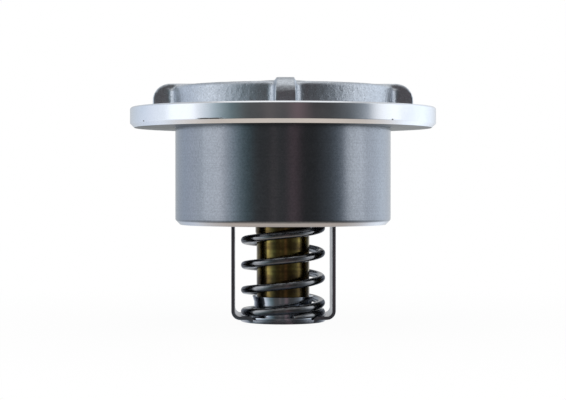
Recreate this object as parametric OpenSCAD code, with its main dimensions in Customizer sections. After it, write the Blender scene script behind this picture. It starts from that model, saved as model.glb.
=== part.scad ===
/* [Flange] */
// Outer diameter of the clamping flange
flange_d = 90; // [84:0.5:100]
// Thickness of the clamping flange
flange_t = 6; // [5:0.1:8]
// Height of the flange's underside above the base
flange_h = 57; // [56:0.5:64]
// Depth of the round recess in the underside that the sleeve closes in
seat_recess = 0.3; // [0.1:0.05:0.6]
// Chamfer on the lower edge of the rim
rim_low_chamfer = 1.25; // [0.3:0.05:2]
// Chamfer on the upper edge of the rim
rim_top_chamfer = 0.45; // [0.2:0.05:1.5]
// Radius that eases the corners of the rim's chamfers
rim_ease = 0.3; // [0.1:0.05:0.4]

/* [Cast collar and spider] */
// Outer diameter of the raised collar
collar_d = 64; // [62:0.25:72]
// Height of the collar above the flange
collar_h = 6.2; // [5:0.1:10]
// Wall of the collar, which leaves the flow opening inside it
collar_wall = 5; // [4:0.1:6]
// Radius along the collar's top edges
collar_round = 1.1; // [0.3:0.05:1.8]
// Radius from the axis to the outer end of each arm
arm_reach = 38.3; // [37:0.1:41]
// Width across the top of an arm
arm_top_w = 5.3; // [4.9:0.1:8]
// How much wider an arm gets from its top down to the flange
arm_draft = 0.9; // [0:0.1:3]
// Height of the arms above the collar
arm_rise = 0.85; // [0.2:0.05:2]
// Depth of the arms below the flange's top face
arm_drop = 3; // [2:0.1:4]
// Radius that turns the top of an arm down to the flange
arm_end_round = 5; // [2:0.1:5.5]
// Radius of the fillets beside each arm
arm_fillet = 2.7; // [0.5:0.1:3]
// Diameter of the boss in the middle of the spider
boss_d = 17; // [14:0.25:20]
// Height of the boss above the arms
boss_rise = 0.8; // [0:0.1:2]
// Depth of the boss below the arms
boss_drop = 1.5; // [0.5:0.1:2]

/* [Seat seal] */
// Width of the seal's exposed face
seal_w = 1.8; // [1.2:0.1:2]
// Depth of the seal's narrow foot
seal_foot = 1.2; // [0.8:0.1:1.6]
// Width that the seal's head adds on each side
seal_head = 0.6; // [0.3:0.05:0.9]
// Height of the seal's head
seal_head_h = 1.1; // [0.8:0.1:1.6]

/* [Stirrup] */
// Thickness of the stirrup's sheet
strap_t = 1; // [0.8:0.05:1.2]
// Gap between the spring and the inside of each leg
leg_gap = 1.75; // [1.65:0.05:2.6]
// Width of the strap's legs
strap_w = 17; // [12:0.25:18]
// Inside radius of the strap's bends
strap_bend = 1.6; // [1:0.1:1.8]
// Distance from the outside of each leg in to the edge of the round base
base_in = 2.9; // [2.8:0.05:3.1]
// How far the round base is pressed down below the strap
base_drop = 1; // [0.6:0.05:1.2]
// Width of the feet that are turned out under the arms
foot_w = 8; // [6.5:0.1:10]
// Height over which the legs narrow to the feet
leg_taper_h = 9; // [6:0.25:12]
// Distance from the outside of each leg to its rivet
rivet_off = 5.3; // [4.5:0.1:6]
// Diameter of a rivet's shank
rivet_d = 3.2; // [2.5:0.1:3.6]
// Diameter of a rivet's two heads
rivet_head_d = 4.6; // [4.2:0.1:4.8]
// Height of a rivet's lower head
rivet_head_h = 1.2; // [0.8:0.1:1.6]

/* [Guide bush] */
// Wall of the guide bush
bush_wall = 0.6; // [0.5:0.05:0.9]
// Height of the bush's mouth above the base
bush_h = 7.5; // [6:0.1:10]
// How far the mouth of the bush flares out
bush_flare = 0.5; // [0.2:0.05:0.7]
// Height of the flare
bush_flare_h = 1.6; // [0.8:0.1:2]
// Gap between the bush's flange and the step round the base
bush_edge = 0.2; // [0.1:0.05:0.4]
// Thickness of the bush's flange
bush_flange_t = 0.6; // [0.5:0.05:0.9]

/* [Return spring] */
// Diameter of the spring wire
wire_d = 2.3; // [1.9:0.05:2.4]
// Outer diameter of the spring
spring_d = 24.9; // [24.4:0.1:25.1]
// Rise of one working turn
spring_pitch = 7.36; // [6:0.02:9]
// Angle at which the wire begins, from the right towards the back
spring_start = -76; // [-180:1:180]

/* [Slide] */
// Outer diameter of the sleeve
sleeve_d = 63.5; // [61.5:0.25:66]
// Length of the sleeve
sleeve_len = 28.7; // [26:0.1:34]
// Wall of the sleeve below its shoulder
sleeve_wall = 2.5; // [2.3:0.05:3]
// Height of the shoulder that the web rests against
sleeve_step = 0.65; // [0.4:0.05:1]
// Chamfer on the sleeve's lower outer edge
sleeve_chamfer = 1.45; // [1:0.05:1.6]
// Radius that turns the sleeve's wall into its chamfer
sleeve_turn = 1; // [0.3:0.05:1.1]
// Radius that eases the sleeve's sharp edges
sleeve_ease = 0.2; // [0.05:0.05:0.25]
// Distance from the flange's underside down to the web's top face
web_drop = 22; // [20.5:0.1:22.4]
// Thickness of the web
web_t = 3; // [2.5:0.1:3.2]
// Diameter of the web's hub
hub_d = 27.2; // [26.4:0.1:27.6]
// Width of the web's outer ring
web_rim_w = 2.9; // [2:0.1:3.4]
// Width of a spoke
spoke_w = 6; // [4:0.1:7]
// Radius of the fillets at both ends of a spoke
spoke_fillet = 1.6; // [0.5:0.1:2]
// Width of the rib on a spoke
rib_w = 2.2; // [1.5:0.1:3]
// Height of the rib on a spoke
rib_h = 2.4; // [1:0.1:4]
// Thickness of the snap ring
snap_t = 1.4; // [1:0.05:1.6]
// Depth of the snap ring's groove in the sleeve
snap_groove = 0.85; // [0.5:0.05:1]
// How far the snap ring reaches in under the web
snap_reach = 1.35; // [0.8:0.05:2]
// Angle of the snap ring's open gap
snap_gap = 14; // [8:1:30]
// Thickness of the spring cup
cup_t = 0.8; // [0.6:0.05:1]
// Depth of the spring cup's rim
cup_rim = 2; // [1:0.1:2.4]

/* [Wax element] */
// Diameter of the wax can where the bush guides it
can_d = 15.6; // [14.6:0.1:15.8]
// Height of the can's bottom above the base
can_lift = 3; // [1.5:0.25:5]
// Wall of the can
can_wall = 1; // [0.7:0.05:1.4]
// Radius around the can's bottom edge
can_round = 1.5; // [0.5:0.1:2.5]
// How much the radius grows at the can's shoulder
can_step = 0.35; // [0.1:0.05:0.5]
// Distance from the web's top face down to the shoulder
can_step_at = 8.6; // [6:0.1:12]
// Height of the shoulder
can_step_h = 1; // [0.4:0.1:2]
// Diameter of the can's rolled head
head_d = 22.4; // [21.6:0.1:23.4]
// Thickness of the diaphragm
diaphragm_t = 1; // [0.8:0.05:1.4]
// Thickness of the guide's flange
guide_flange_t = 2; // [1.5:0.1:2.4]
// Height of the guide's conical mouth
mouth_h = 1.8; // [1.2:0.1:2.2]
// How much wider than the pin the mouth begins
mouth_flare = 1.5; // [0.8:0.1:2]
// Diameter of the guide's neck
neck_d = 11.2; // [10.6:0.1:12.5]
// Gap between the neck and the boss with the valve shut
neck_gap = 0.8; // [0.5:0.1:1.5]
// Diameter of the working pin
pin_d = 6; // [5:0.1:6.4]
// Length of the rubber plunger
plunger_len = 3.1; // [2.5:0.1:4]
// Thickness of the washer between plunger and pin
washer_t = 0.8; // [0.5:0.05:1.2]
// Depth of the wiper ring in the neck
wiper_h = 2; // [1.4:0.1:3]
// Wall of the wiper ring
wiper_wall = 1.25; // [0.8:0.05:1.5]
// Diameter of the calibration plug
plug_d = 8; // [7:0.1:10]
// Length of the calibration plug
plug_len = 3.9; // [3:0.1:5]
// Depth of the plug below the top of the boss
plug_recess = 0.6; // [0.2:0.1:1.5]

/* [Clearances] */
// Gap between pieces that are assembled for good
seat_gap = 0.02; // [0:0.01:0.05]
// Radial gap between the pin and its guide
pin_gap = 0.05; // [0.03:0.01:0.1]
// Radial gap between the wax can and its bush
can_gap = 0.15; // [0.1:0.01:0.3]
// Radial gap between the wax can and the web's hub
hub_gap = 0.2; // [0.1:0.05:0.4]
// Radial gap between the spring and the rim of its cup
cup_gap = 0.3; // [0.2:0.05:0.4]
// Radial gap between the sleeve and the recess that it closes in
recess_gap = 0.3; // [0.1:0.05:0.5]

/* [Hidden] */
$fn = 96;
eps = 0.01;

// Heights of the casting
seat_z = flange_h + seat_recess;
flange_top = flange_h + flange_t;
collar_top = flange_top + collar_h;
arm_top = collar_top + arm_rise;
arm_bottom = flange_top - arm_drop;
boss_top = arm_top + boss_rise;
boss_bottom = arm_bottom - boss_drop;
arm_angles = [0:90:270];

// Radii of the casting
rim_r = flange_d / 2;
collar_r = collar_d / 2;
flow_r = collar_r - collar_wall;
boss_r = boss_d / 2;
arm_slope = arm_draft / (arm_top - flange_top);
arm_foot_w = arm_top_w + arm_slope * (arm_top - arm_bottom);
arm_mid_w = arm_top_w + arm_slope * (arm_top - flange_top) / 2;

// Slide
sleeve_r = sleeve_d / 2;
sleeve_bore_r = sleeve_r - sleeve_wall;
shoulder_r = sleeve_bore_r - sleeve_step;
sleeve_bottom = seat_z - sleeve_len;
web_top = flange_h - web_drop;
web_bottom = web_top - web_t;
web_r = sleeve_bore_r - seat_gap;
web_window_r = web_r - web_rim_w;
hub_r = hub_d / 2;
spoke_angles = [45:90:315];
rib_from = head_d / 2 + hub_gap;
rib_to = shoulder_r - hub_gap;
snap_top = web_bottom;
snap_bottom = snap_top - snap_t;
snap_r = sleeve_bore_r + snap_groove;
cup_bottom = web_bottom - cup_t;

// Seat seal, centred on the sleeve's wall
seal_mid_r = sleeve_r - sleeve_wall / 2;
seal_top = seat_z + seal_foot + seal_head_h;

// Wax element
pin_r = pin_d / 2;
guide_bore_r = pin_r + pin_gap;
can_r = can_d / 2;
can_top_r = can_r + can_step;
can_bottom = can_lift;
can_step_top = web_top - can_step_at;
can_step_bottom = can_step_top - can_step_h;
head_r = head_d / 2;
head_bore_r = head_r - can_wall;
head_floor_top = web_top + can_wall;
diaphragm_top = head_floor_top + diaphragm_t;
guide_flange_top = diaphragm_top + guide_flange_t;
head_top = guide_flange_top + can_wall;
mouth_top = diaphragm_top + mouth_h;
neck_r = neck_d / 2;
neck_top = boss_bottom - neck_gap;
plunger_bottom = mouth_top + 2 * seat_gap;
plunger_top = plunger_bottom + plunger_len;
washer_top = plunger_top + washer_t;
plug_r = plug_d / 2;
plug_top = boss_top - plug_recess;
plug_bottom = plug_top - plug_len;
wiper_r = guide_bore_r + wiper_wall;

// Stirrup and bush
strap_outer_r = strap_bend + strap_t;
leg_in = spring_d / 2 + leg_gap;
leg_out = leg_in + strap_t;
base_r = leg_out - base_in;
bend_x = leg_out - strap_outer_r;
low_bend_z = base_drop + strap_outer_r;
floor_r = base_r - strap_t * tan(22.5);
step_h = base_drop + strap_t / 2;
bush_flange_r = floor_r - bush_edge;
foot_top = arm_bottom;
foot_bottom = foot_top - strap_t;
top_bend_x = leg_out + strap_bend;
top_bend_z = foot_top - strap_outer_r;
rivet_at = leg_out + rivet_off;
foot_end = rivet_at + rivet_head_d * 0.75;
bush_bore_r = can_r + can_gap;
bush_r = bush_bore_r + bush_wall;
bush_top = bush_h;
bush_seat = strap_t + bush_flange_t;
bush_tail = strap_t * 0.2;

// Spring
wire_r = wire_d / 2;
coil_r = spring_d / 2 - wire_r;
cup_r = spring_d / 2 + cup_gap;
spring_low = bush_seat;
spring_high = cup_bottom;
// Clear height under the wire along a closed end turn
end_lift = 0.1;
// Turns that each closed end gives up, and the turn in which the rise eases in
end_turns = 0.845;
ease_turns = 0.49;
// The tip bends down into the ground face over this many turns and this far
tip_turns = 0.25;
tip_dip = 1.3;
spring_turns = (spring_high - spring_low - 2 * (wire_r + end_lift)) / spring_pitch + 2 * end_turns;
rings_per_turn = 20;
wire_sides = 12;

// Height of the wire's centre above the seat, near one end
function end_rise(t) =
    let (
        ease_from = end_turns - ease_turns / 2,
        ease_to = end_turns + ease_turns / 2,
        into = max(0, min(t, ease_to) - ease_from),
        past = max(0, t - ease_to),
        tip = max(0, 1 - t / tip_turns)
    )
    wire_r + end_lift - tip_dip * tip * tip
    + spring_pitch * (into * into / (2 * ease_turns) + past);

// Height of the wire's centre at t turns from its lower end
function coil_z(t) =
    t < spring_turns / 2
    ? spring_low + end_rise(t)
    : spring_high - end_rise(spring_turns - t);

// One ring of points round the wire at t turns
function wire_ring(t) =
    let (a = spring_start + 360 * t)
    [for (k = [0:wire_sides - 1])
        let (
            b = 360 * k / wire_sides,
            r = coil_r + wire_r * cos(b)
        )
        [r * cos(a), r * sin(a), coil_z(t) + wire_r * sin(b)]];

// A rectangle in a profile, from one corner to the other
module bar(from, to) {
    translate(from) square([to[0] - from[0], to[1] - from[1]]);
}

// The part of a profile that fills a rectangle whose upper corners are rounded
module round_top_bar(from, to, r) {
    bar(from, [to[0], to[1] - r]);
    bar([from[0] + r, from[1]], [to[0] - r, to[1]]);
    translate([from[0] + r, to[1] - r]) circle(r = r);
    translate([to[0] - r, to[1] - r]) circle(r = r);
}

// An outline through points given anticlockwise, each corner eased with its own radius.
// An outward corner gains a disc inside its chord, an inward one loses a disc outside it.
module eased(points, radii) {
    n = len(points);
    corners = [for (i = [0:n - 1])
        corner(points[(i + n - 1) % n], points[i], points[(i + 1) % n], radii[i])];
    difference() {
        union() {
            polygon([for (c = corners) each [c[0], c[1]]]);
            for (i = [0:n - 1]) if (radii[i] > 0 && corners[i][3] > 0)
                translate(corners[i][2]) circle(r = radii[i]);
        }
        for (i = [0:n - 1]) if (radii[i] > 0 && corners[i][3] < 0)
            translate(corners[i][2]) circle(r = radii[i]);
    }
}

// Where the arc of a corner begins and ends, its centre, and how far it turns to the left
function corner(before, at, after, r) =
    let (
        come = (at - before) / norm(at - before),
        go = (after - at) / norm(after - at),
        turn = atan2(come[0] * go[1] - come[1] * go[0], come * go),
        along = r * tan(abs(turn) / 2),
        start = at - come * along,
        left = [-come[1], come[0]]
    )
    [start, at + go * along, start + left * r * sign(turn), turn];

// The profile of a ring whose outer wall has chamfers below and above
module chamfered_bar(from, to, low, high) {
    polygon([
        from,
        [to[0] - low, from[1]],
        [to[0], from[1] + low],
        [to[0], to[1] - high],
        [to[0] - high, to[1]],
        [from[0], to[1]]
    ]);
}

// The groove of the seat seal, or the seal itself when gap is 0
module seal_profile(gap) {
    half = seal_w / 2 + gap;
    bar([seal_mid_r - half, seat_z - gap], [seal_mid_r + half, seat_z + seal_foot + eps]);
    bar(
        [seal_mid_r - half - seal_head, seat_z + seal_foot - gap],
        [seal_mid_r + half + seal_head, seal_top + gap]
    );
}

// Flange and collar, with the seat's recess and the groove for the seat seal
module casting_ring() {
    rotate_extrude() difference() {
        union() {
            eased(
                [
                    [flow_r, flange_h],
                    [rim_r - rim_low_chamfer, flange_h],
                    [rim_r, flange_h + rim_low_chamfer],
                    [rim_r, flange_top - rim_top_chamfer],
                    [rim_r - rim_top_chamfer, flange_top],
                    [flow_r, flange_top]
                ],
                [0, rim_ease, rim_ease, rim_ease, rim_ease, 0]
            );
            round_top_bar([flow_r, flange_h], [collar_r, collar_top], collar_round);
        }
        bar([flow_r - eps, flange_h - eps], [sleeve_r + recess_gap, seat_z]);
        seal_profile(seat_gap);
    }
}

// Side outline of one arm, from the axis to its rounded end
module arm_side() {
    bend = [arm_reach - arm_end_round, arm_top - arm_end_round];
    bar([0, arm_bottom], [flow_r + eps, arm_top]);
    bar([flow_r, flange_top - eps], [bend[0], arm_top]);
    bar([flow_r, flange_top - eps], [arm_reach, bend[1]]);
    translate(bend) circle(r = arm_end_round);
}

// Cross-section of an arm, narrower at its top
module arm_section() {
    polygon([
        [-arm_foot_w / 2, arm_bottom],
        [arm_foot_w / 2, arm_bottom],
        [arm_top_w / 2, arm_top],
        [-arm_top_w / 2, arm_top]
    ]);
}

module arm() {
    intersection() {
        rotate([90, 0, 0]) linear_extrude(arm_foot_w, center = true) arm_side();
        rotate([90, 0, 90]) linear_extrude(arm_reach + eps) arm_section();
    }
}

// Fillet in the corner between the side of an arm and a round wall.
// out is 1 where the wall curves away from the corner and -1 inside a bore.
module wall_fillet(wall_r, out, from, to) {
    side = arm_mid_w / 2;
    reach = wall_r + out * arm_fillet;
    centre = [sqrt(pow(reach, 2) - pow(side + arm_fillet, 2)), side + arm_fillet];
    touch = centre * wall_r / reach;
    root = [sqrt(pow(wall_r, 2) - pow(side, 2)), side];
    translate([0, 0, from]) linear_extrude(to - from) difference() {
        polygon([
            [root[0] - out * arm_fillet / 2, 0],
            [centre[0], 0],
            [centre[0], side],
            centre,
            touch,
            [touch[0] - out * arm_fillet / 2, touch[1]]
        ]);
        translate(centre) circle(r = arm_fillet);
    }
}

// Spider arms with their fillets, all round
module spider() {
    for (a = arm_angles) rotate(a) {
        arm();
        for (s = [0, 1]) mirror([0, s, 0]) {
            wall_fillet(collar_r, 1, flange_top - eps, collar_top - collar_round);
            wall_fillet(boss_r, 1, arm_bottom, arm_top);
            wall_fillet(flow_r, -1, arm_bottom, collar_top - collar_round);
        }
    }
    rotate_extrude() round_top_bar([0, boss_bottom], [boss_r, boss_top], collar_round);
}

module rivet_hole() {
    translate([rivet_at, 0, arm_bottom - eps]) cylinder(r = rivet_d / 2 + seat_gap, h = arm_top);
    translate([rivet_at, 0, arm_top]) rivet_cone(seat_gap);
}

// The countersink of a rivet's upper head, flush with the arm's top
module rivet_cone(gap) {
    depth = (rivet_head_d - rivet_d) / 2;
    mirror([0, 0, 1]) cylinder(r1 = rivet_head_d / 2 + gap, r2 = rivet_d / 2 + gap, h = depth);
}

module housing_casting() {
    color("silver") difference() {
        union() {
            casting_ring();
            spider();
        }
        translate([0, 0, boss_bottom - eps]) cylinder(r = pin_r + seat_gap, h = boss_top);
        translate([0, 0, plug_bottom]) cylinder(r = plug_r + seat_gap, h = boss_top);
        rivet_hole();
        rotate(180) rivet_hole();
    }
}

module seat_seal() {
    color("dimgray") rotate_extrude() seal_profile(0);
}

module calibration_plug() {
    dimple = plug_r / 3;
    color("gray") translate([0, 0, plug_bottom]) difference() {
        cylinder(r = plug_r, h = plug_len);
        translate([0, 0, plug_len - dimple]) cylinder(r1 = 0, r2 = dimple, h = dimple + eps);
    }
}

module working_pin() {
    color("lightgray") rotate_extrude()
        chamfered_bar([0, washer_top], [pin_r, plug_bottom], pin_gap, 2 * pin_gap);
}

module backup_washer() {
    color("white") translate([0, 0, plunger_top]) cylinder(r = pin_r, h = washer_t);
}

module rubber_plunger() {
    color("dimgray") translate([0, 0, plunger_bottom]) cylinder(r = pin_r, h = plunger_len);
}

// A quarter of a bent sheet, between its inside and outside radius
module sheet_bend() {
    intersection() {
        difference() {
            circle(r = strap_outer_r);
            circle(r = strap_bend);
        }
        square(strap_outer_r);
    }
}

// Right half of the strap, seen from the front, before its base is pressed down
module strap_side() {
    bar([0, base_drop], [bend_x + eps, base_drop + strap_t]);
    translate([bend_x, low_bend_z]) rotate(-90) sheet_bend();
    bar([leg_in, low_bend_z], [leg_out, top_bend_z]);
    translate([top_bend_x, top_bend_z]) rotate(90) sheet_bend();
    bar([top_bend_x, foot_bottom], [foot_end, foot_top]);
}

// Outline of the legs from the side, narrowing towards the feet
module leg_outline() {
    taper_to = top_bend_z;
    polygon([
        [-strap_w / 2, 0],
        [strap_w / 2, 0],
        [strap_w / 2, taper_to - leg_taper_h],
        [foot_w / 2, taper_to],
        [foot_w / 2, foot_top],
        [-foot_w / 2, foot_top],
        [-foot_w / 2, taper_to],
        [-strap_w / 2, taper_to - leg_taper_h]
    ]);
}

// The pressed step, a cone that widens upwards at 45 degrees and ends half a sheet past the strap
module step_cone(r, from) {
    translate([0, 0, from]) cylinder(r1 = r, r2 = r + step_h, h = step_h);
}

// The folded strip, with the step that leads down to the round base
module strap() {
    difference() {
        intersection() {
            union() {
                rotate([90, 0, 0]) linear_extrude(strap_w, center = true) {
                    strap_side();
                    mirror([1, 0]) strap_side();
                }
                step_cone(base_r, 0);
            }
            rotate([90, 0, 90]) linear_extrude(2 * foot_end, center = true) leg_outline();
        }
        step_cone(floor_r, strap_t);
    }
}

module stirrup() {
    color("slategray") difference() {
        union() {
            strap();
            cylinder(r = base_r, h = strap_t);
        }
        translate([0, 0, -eps]) cylinder(r = bush_r + seat_gap, h = strap_t + 2 * eps);
        for (s = [-1, 1]) translate([s * rivet_at, 0, foot_bottom - eps])
            cylinder(r = rivet_d / 2 + seat_gap, h = strap_t + 2 * eps);
    }
}

module guide_bush() {
    color("silver") rotate_extrude() {
        polygon([
            [bush_bore_r, bush_tail],
            [bush_r, bush_tail],
            [bush_r, bush_top - bush_flare_h],
            [bush_r + bush_flare, bush_top],
            [bush_bore_r + bush_flare, bush_top],
            [bush_bore_r, bush_top - bush_flare_h]
        ]);
        bar([bush_r - eps, strap_t], [bush_flange_r, bush_seat]);
    }
}

// A rivet at the right: shank, flush upper head and domed lower head
module rivet() {
    color("gray") translate([rivet_at, 0, 0]) {
        translate([0, 0, foot_bottom - eps])
            cylinder(r = rivet_d / 2, h = arm_top - foot_bottom + eps);
        translate([0, 0, arm_top]) rivet_cone(0);
        translate([0, 0, foot_bottom]) mirror([0, 0, 1])
            rotate_extrude() intersection() {
                bar([0, 0], [rivet_head_d / 2, rivet_head_h]);
                dome_r = (pow(rivet_head_d / 2, 2) + pow(rivet_head_h, 2)) / (2 * rivet_head_h);
                translate([0, rivet_head_h - dome_r]) circle(r = dome_r);
            }
    }
}

module right_rivet() {
    rivet();
}

module left_rivet() {
    rotate(180) rivet();
}

// The wire swept along its coil, then ground flat at both ends
module return_spring() {
    last = round(spring_turns * rings_per_turn);
    rings = [for (i = [0:last]) each wire_ring(spring_turns * i / last)];
    skin = [for (i = [0:last - 1], k = [0:wire_sides - 1])
        let (
            a = i * wire_sides + k,
            b = i * wire_sides + (k + 1) % wire_sides
        )
        [a, a + wire_sides, b + wire_sides, b]];
    first_cap = [for (k = [0:wire_sides - 1]) k];
    last_cap = [for (k = [wire_sides - 1:-1:0]) last * wire_sides + k];
    color("darkslategray") intersection() {
        polyhedron(points = rings, faces = concat(skin, [first_cap, last_cap]));
        translate([0, 0, spring_low]) cylinder(r = spring_d, h = spring_high - spring_low);
    }
}

// Sleeve: bore with the shoulder and the snap ring's groove, turned and chamfered outside
module slide_sleeve() {
    color("lightsteelblue") rotate_extrude() difference() {
        eased(
            [
                [sleeve_bore_r, sleeve_bottom],
                [sleeve_r - sleeve_chamfer, sleeve_bottom],
                [sleeve_r, sleeve_bottom + sleeve_chamfer],
                [sleeve_r, seat_z],
                [sleeve_bore_r, seat_z],
                [shoulder_r, seat_z - sleeve_step],
                [shoulder_r, web_top],
                [sleeve_bore_r, web_top]
            ],
            [
                sleeve_ease, sleeve_ease, sleeve_turn, sleeve_ease,
                sleeve_ease, sleeve_ease, sleeve_ease, 0
            ]
        );
        bar([shoulder_r, snap_bottom], [snap_r, snap_top]);
    }
}

// One quarter window of the web, between two spokes, with rounded corners
module web_window() {
    half = spoke_w / 2;
    f = spoke_fillet;
    // Centres of the corner circles, which touch a spoke's side and a round wall
    out_c = [sqrt(pow(web_window_r - f, 2) - pow(half + f, 2)), half + f];
    in_c = [sqrt(pow(hub_r + f, 2) - pow(half + f, 2)), half + f];
    difference() {
        intersection() {
            difference() {
                circle(r = web_window_r);
                circle(r = hub_r);
            }
            translate([half, half]) square(web_window_r);
        }
        for (s = [0, 1]) mirror([s, -s]) {
            corner_rest(out_c, [out_c[0], half], out_c * web_window_r / (web_window_r - f));
            corner_rest(in_c, [in_c[0], half], in_c * hub_r / (hub_r + f));
        }
    }
}

// What a rounded corner leaves behind between its circle and the two walls
module corner_rest(centre, foot, touch) {
    beyond = (foot + touch - 2 * centre) * 2;
    difference() {
        polygon([centre, foot, centre + beyond, touch]);
        translate(centre) circle(r = spoke_fillet);
    }
}

module slide_web() {
    color("gainsboro") {
        translate([0, 0, web_bottom]) linear_extrude(web_t) difference() {
            circle(r = web_r);
            circle(r = can_top_r + hub_gap);
            for (a = [-45:90:225]) rotate(a) web_window();
        }
        for (a = spoke_angles) rotate(a)
            translate([rib_from, -rib_w / 2, web_top - eps])
                cube([rib_to - rib_from, rib_w, rib_h + eps]);
    }
}

module web_snap_ring() {
    color("dimgray") rotate(snap_gap / 2 - 90) rotate_extrude(angle = 360 - snap_gap)
        bar(
            [sleeve_bore_r - snap_reach, snap_bottom + seat_gap],
            [snap_r - seat_gap, snap_top - seat_gap]
        );
}

module spring_cup() {
    color("darkgray") rotate_extrude() {
        bar([can_top_r + hub_gap, cup_bottom], [cup_r + cup_t, web_bottom]);
        bar([cup_r, cup_bottom - cup_rim], [cup_r + cup_t, cup_bottom + eps]);
    }
}

module element_can() {
    color("darkgoldenrod") rotate_extrude() difference() {
        union() {
            bar([0, can_bottom], [can_r - can_round, can_bottom + can_round + eps]);
            translate([can_r - can_round, can_bottom + can_round]) intersection() {
                circle(r = can_round);
                translate([0, -can_round]) square(can_round + eps);
            }
            bar([0, can_bottom + can_round], [can_r, can_step_bottom + eps]);
            polygon([
                [0, can_step_bottom],
                [can_r, can_step_bottom],
                [can_top_r, can_step_top],
                [can_top_r, web_top + eps],
                [0, web_top + eps]
            ]);
            round_top_bar([0, web_top], [head_r, head_top], can_wall / 2);
        }
        bar([0, can_bottom + can_wall], [can_r - can_wall, can_step_bottom]);
        polygon([
            [0, can_step_bottom - eps],
            [can_r - can_wall, can_step_bottom - eps],
            [can_top_r - can_wall, can_step_top],
            [can_top_r - can_wall, head_floor_top + eps],
            [0, head_floor_top + eps]
        ]);
        bar([0, head_floor_top], [head_bore_r, guide_flange_top]);
        bar([0, head_floor_top], [head_bore_r - can_wall, head_top + eps]);
    }
}

module element_guide() {
    flange_r = head_bore_r - seat_gap;
    color("goldenrod") rotate_extrude() difference() {
        union() {
            bar([0, diaphragm_top], [flange_r, guide_flange_top]);
            chamfered_bar([0, guide_flange_top - eps], [neck_r, neck_top], 0, can_wall / 2);
            difference() {
                bar(
                    [neck_r - eps, guide_flange_top - eps],
                    [neck_r + can_wall, guide_flange_top + can_wall]
                );
                translate([neck_r + can_wall, guide_flange_top + can_wall]) circle(r = can_wall);
            }
        }
        polygon([
            [0, diaphragm_top - eps],
            [guide_bore_r + mouth_flare, diaphragm_top - eps],
            [guide_bore_r, mouth_top],
            [0, mouth_top]
        ]);
        bar([0, diaphragm_top], [guide_bore_r, neck_top + eps]);
        bar([0, neck_top - wiper_h], [wiper_r, neck_top + eps]);
    }
}

module pin_wiper() {
    color("dimgray") rotate_extrude() polygon([
        [guide_bore_r, neck_top - wiper_h],
        [wiper_r - seat_gap, neck_top - wiper_h],
        [wiper_r - seat_gap, neck_top - wiper_wall / 2],
        [wiper_r - wiper_wall / 2, neck_top],
        [guide_bore_r, neck_top]
    ]);
}

module diaphragm() {
    color("dimgray") rotate_extrude() polygon([
        [0, head_floor_top],
        [head_bore_r - seat_gap, head_floor_top],
        [head_bore_r - seat_gap, diaphragm_top],
        [guide_bore_r + mouth_flare - seat_gap, diaphragm_top],
        [guide_bore_r - seat_gap, mouth_top],
        [0, mouth_top]
    ]);
}

module wax_charge() {
    inner = can_r - can_wall - seat_gap;
    color("wheat") rotate_extrude() polygon([
        [0, can_bottom + can_wall],
        [inner, can_bottom + can_wall],
        [inner, can_step_bottom],
        [inner + can_step, can_step_top],
        [inner + can_step, head_floor_top],
        [0, head_floor_top]
    ]);
}

housing_casting();
seat_seal();
calibration_plug();
working_pin();
backup_washer();
rubber_plunger();
stirrup();
guide_bush();
left_rivet();
right_rivet();
return_spring();
slide_sleeve();
slide_web();
web_snap_ring();
spring_cup();
element_can();
element_guide();
pin_wiper();
diaphragm();
wax_charge();
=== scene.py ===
# %% [markdown]
# # An insert thermostat, dressed for its portrait
#
# This thermostat sits in the cooling circuit of a large diesel engine. A cast
# flange is clamped in a pocket of the engine. Below it hangs a turned sleeve,
# which is the valve itself, and a brass can full of wax pushes the sleeve down
# when the coolant is hot. A coil spring in a folded stirrup pushes it back.
#
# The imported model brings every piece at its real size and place. So the work
# here is to look at each piece as a maker would: which faces came from the
# mould, which from the lathe, which from the press, and how each of them
# catches the light.

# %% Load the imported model
import bmesh
import bpy
import math
from mathutils import Matrix, Vector, noise


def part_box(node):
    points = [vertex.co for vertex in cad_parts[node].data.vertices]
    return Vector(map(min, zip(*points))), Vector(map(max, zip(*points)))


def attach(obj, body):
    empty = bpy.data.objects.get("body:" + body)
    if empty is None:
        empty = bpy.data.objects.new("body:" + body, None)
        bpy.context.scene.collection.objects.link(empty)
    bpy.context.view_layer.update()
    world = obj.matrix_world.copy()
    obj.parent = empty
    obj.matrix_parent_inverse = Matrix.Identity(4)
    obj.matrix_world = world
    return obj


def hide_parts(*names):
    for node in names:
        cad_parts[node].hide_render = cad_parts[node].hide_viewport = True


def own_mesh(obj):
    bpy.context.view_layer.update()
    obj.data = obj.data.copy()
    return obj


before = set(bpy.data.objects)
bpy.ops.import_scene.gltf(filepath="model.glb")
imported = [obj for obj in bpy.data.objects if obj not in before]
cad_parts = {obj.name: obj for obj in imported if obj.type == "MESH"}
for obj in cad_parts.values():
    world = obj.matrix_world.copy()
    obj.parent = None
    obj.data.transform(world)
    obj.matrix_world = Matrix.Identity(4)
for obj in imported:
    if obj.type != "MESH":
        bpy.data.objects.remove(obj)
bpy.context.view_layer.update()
MM = 0.001

# %% [markdown]
# ## The camera
#
# The photograph looks almost level at the sleeve from about half a metre away:
# the rims of the flange and the sleeve curve only slightly. A long lens at that
# distance gives the same flat curves. A short lens close by would show more of
# the flange's underside, and a camera far away would draw straight rims. The
# front arm stands a little to the right of the axis, so the camera stands about
# one degree to the left of the object's front.

# %% Camera
CAMERA_BACK = 487.4 * MM
CAMERA_TURN = math.radians(1.1)
CAMERA_HEIGHT = 41.3 * MM
AIM_HEIGHT = 35.8 * MM
LENS = 104.9
SENSOR_WIDTH = 36
NEAREST_SEEN = 10 * MM
FURTHEST_SEEN = 20


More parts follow.
